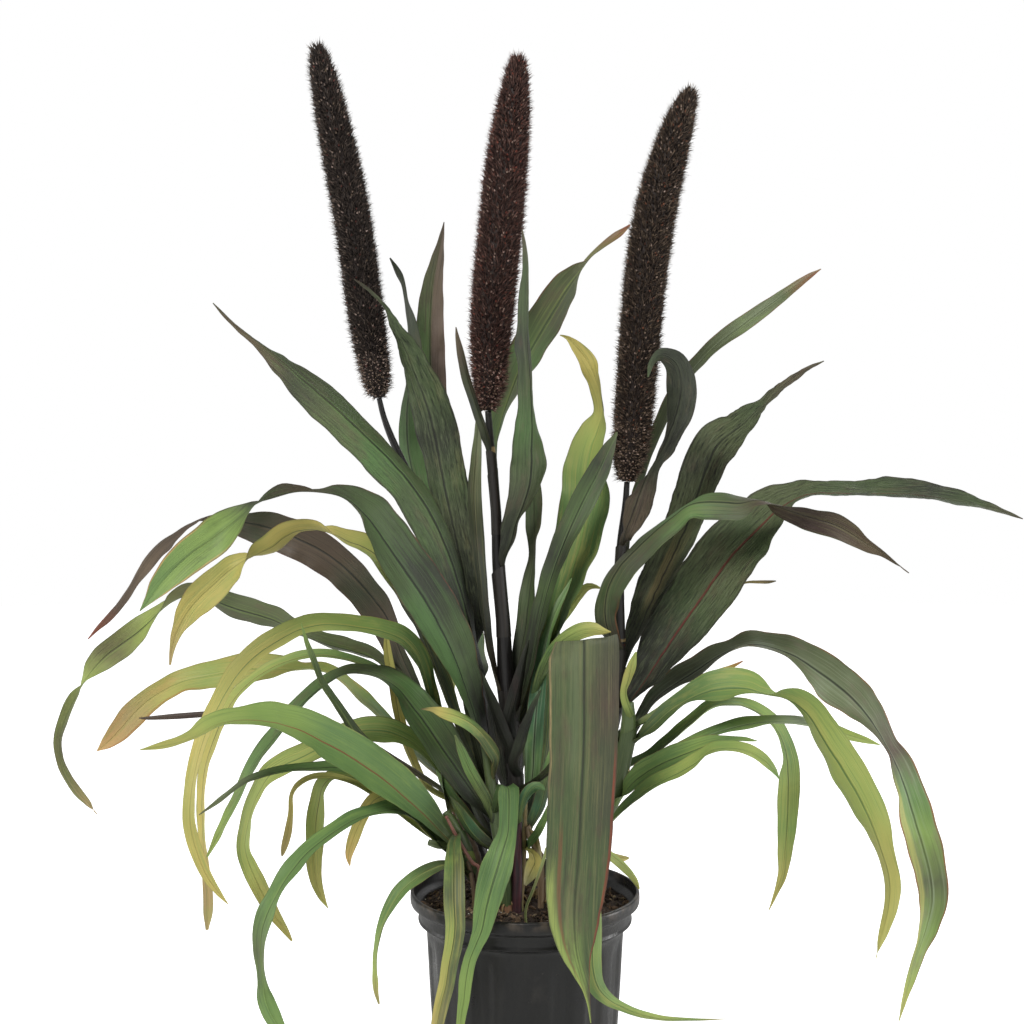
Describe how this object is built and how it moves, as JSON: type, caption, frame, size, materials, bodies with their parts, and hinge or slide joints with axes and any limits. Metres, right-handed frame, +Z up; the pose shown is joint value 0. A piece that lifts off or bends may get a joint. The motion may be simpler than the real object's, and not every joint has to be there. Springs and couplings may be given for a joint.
{
  "type": "potted ornamental millet",
  "caption": "Clump of ornamental pearl millet with dark cylindrical seed heads on upright stems and long arching strap leaves, growing in a round black plastic nursery pot",
  "frame": {"origin": "centre of the flat underside of the pot, where the pot stands", "axes": "+Z up along the pot's axis; -Y towards the viewer (the front, the side with the broad folded leaf hanging over the rim); +X to the viewer's right"},
  "size_m": [0.7826, 0.3221, 0.8316],
  "materials": {
    "pot_plastic": "thin black blow-moulded polypropylene, soft satin sheen on shallow upright flutes, slightly dusty",
    "potting_mix": "loose dark peat and bark crumb with pale chips, fully matt",
    "culm_dark": "smooth hard purple-black flower stem wrapped in lapped dark sheaths, low gloss, with swollen nodes",
    "sheath_green": "base of a side shoot in overlapping green and tan sheaths, satin",
    "spike_bristle": "packed near-black brown seed head under short stiff bristles, matt with fine pale flecks",
    "leaf_dark": "mature blade, dark bronze-green, fine lengthwise veins and a darker midrib, satin",
    "leaf_purple": "mature blade gone purple-brown, fine lengthwise veins, satin",
    "leaf_green": "mid-green blade with fine lengthwise veins, reddish midrib and margins, satin",
    "leaf_folded": "broad hanging blade, green one side of the midrib and purple-brown the other, red margins, satin",
    "leaf_light": "young light green blade with orange-tinged margins, satin",
    "leaf_yellowing": "ageing yellow-green blade with tan and orange tip, satin to matt"
  },
  "bodies": {
    "root": {"nursery_pot": "pot_plastic", "potting_mix": "potting_mix", "culm_centre": "culm_dark", "culm_left": "culm_dark", "culm_right": "culm_dark", "tiller_left_low": "sheath_green", "tiller_left_mid": "culm_dark", "tiller_front": "sheath_green", "tiller_right": "sheath_green", "tiller_right_low": "sheath_green", "spike_left": "spike_bristle", "spike_centre": "spike_bristle", "spike_right": "spike_bristle", "leaf_left_high_1": "leaf_dark", "leaf_left_high_2": "leaf_purple", "leaf_left_high_3": "leaf_purple", "leaf_left_high_4": "leaf_dark", "leaf_centre_top": "leaf_dark", "leaf_centre_strip": "leaf_green", "leaf_centre_twist": "leaf_dark", "leaf_centre_back": "leaf_dark", "leaf_centre_right_high": "leaf_green", "leaf_centre_right_yellow": "leaf_light", "leaf_centre_right_dark": "leaf_dark", "leaf_centre_blue": "leaf_green", "leaf_centre_small": "leaf_green", "leaf_front_fold": "leaf_folded", "leaf_front_curl": "leaf_light", "leaf_right_flag": "leaf_dark", "leaf_right_high_1": "leaf_green", "leaf_right_high_2": "leaf_dark", "leaf_right_purple": "leaf_purple", "leaf_right_big": "leaf_dark", "leaf_right_arch_1": "leaf_dark", "leaf_right_arch_2": "leaf_light", "leaf_right_small": "leaf_light", "leaf_right_droop_1": "leaf_green", "leaf_right_low_1": "leaf_green", "leaf_right_low_2": "leaf_green", "leaf_right_low_3": "leaf_light", "leaf_left_wave": "leaf_green", "leaf_left_brown": "leaf_purple", "leaf_left_yellow_arch": "leaf_yellowing", "leaf_left_long": "leaf_dark", "leaf_left_light_arch": "leaf_light", "leaf_left_yellow": "leaf_yellowing", "leaf_left_needle": "leaf_green", "leaf_left_blade": "leaf_dark", "leaf_left_green": "leaf_green", "leaf_left_dark_narrow": "leaf_dark", "leaf_left_olive": "leaf_yellowing", "leaf_left_hang_1": "leaf_yellowing", "leaf_left_hang_2": "leaf_yellowing", "leaf_left_low": "leaf_green", "leaf_rim_left": "leaf_green", "leaf_rim_front_1": "leaf_yellowing", "leaf_rim_front_2": "leaf_green", "leaf_front_yellow_tip": "leaf_light", "leaf_left_yellow_hang": "leaf_yellowing"}
  },
  "joints": []
}
